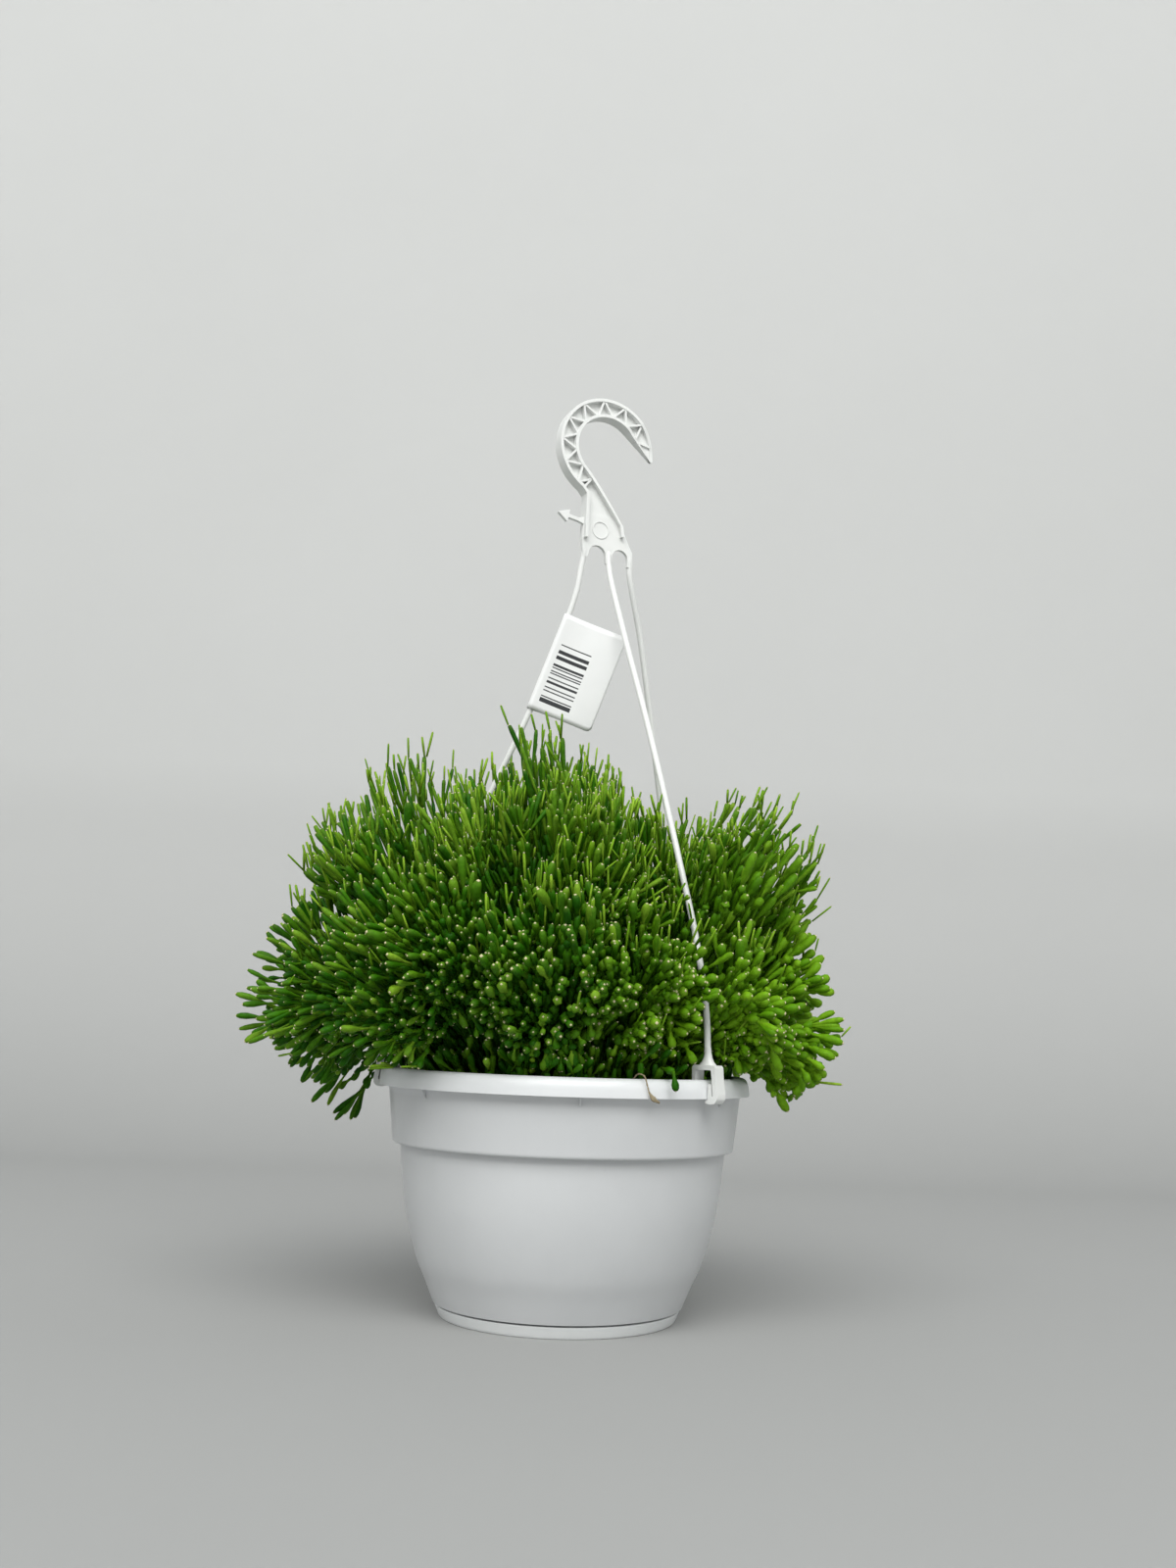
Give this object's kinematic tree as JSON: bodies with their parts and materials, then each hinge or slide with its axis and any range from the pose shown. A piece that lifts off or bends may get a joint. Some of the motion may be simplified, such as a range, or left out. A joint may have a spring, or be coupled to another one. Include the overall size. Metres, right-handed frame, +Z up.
{
  "type": "mistletoe cactus in a hanging pot",
  "caption": "Bushy mistletoe cactus with bottle-shaped stem joints in a round white plastic hanging pot with saucer, clip-on hook hanger and folded flag label.",
  "frame": {"origin": "on the pot's axis at the flat underside of the saucer", "axes": "+Z up along the pot's axis to the hook, -Y towards the side with the front arm and the label, +X to the right as seen from there"},
  "size_m": [0.3249, 0.302, 0.5183],
  "materials": {
    "saucer_plastic": "smooth white injection-moulded plastic, slightly glossy",
    "pot_plastic": "smooth greyish-white injection-moulded plastic with faint scuffs",
    "potting_soil": "dark damp crumbly peat",
    "hanger_plastic": "smooth bright white injection-moulded plastic",
    "label_film": "white satin synthetic paper with plain dark stripes",
    "stem_green": "waxy satin green succulent skin with cream woolly tips"
  },
  "bodies": {
    "root": {"saucer": "saucer_plastic", "pot": "pot_plastic", "soil": "potting_soil", "hanger": "hanger_plastic", "label": "label_film", "stem_clump_01": "stem_green", "stem_clump_02": "stem_green", "stem_clump_03": "stem_green", "stem_clump_04": "stem_green", "stem_clump_05": "stem_green", "stem_clump_06": "stem_green", "stem_clump_07": "stem_green", "stem_clump_08": "stem_green", "stem_clump_09": "stem_green", "stem_clump_10": "stem_green", "stem_clump_11": "stem_green", "stem_clump_12": "stem_green", "stem_clump_13": "stem_green", "stem_clump_14": "stem_green", "stem_clump_15": "stem_green"}
  },
  "joints": []
}
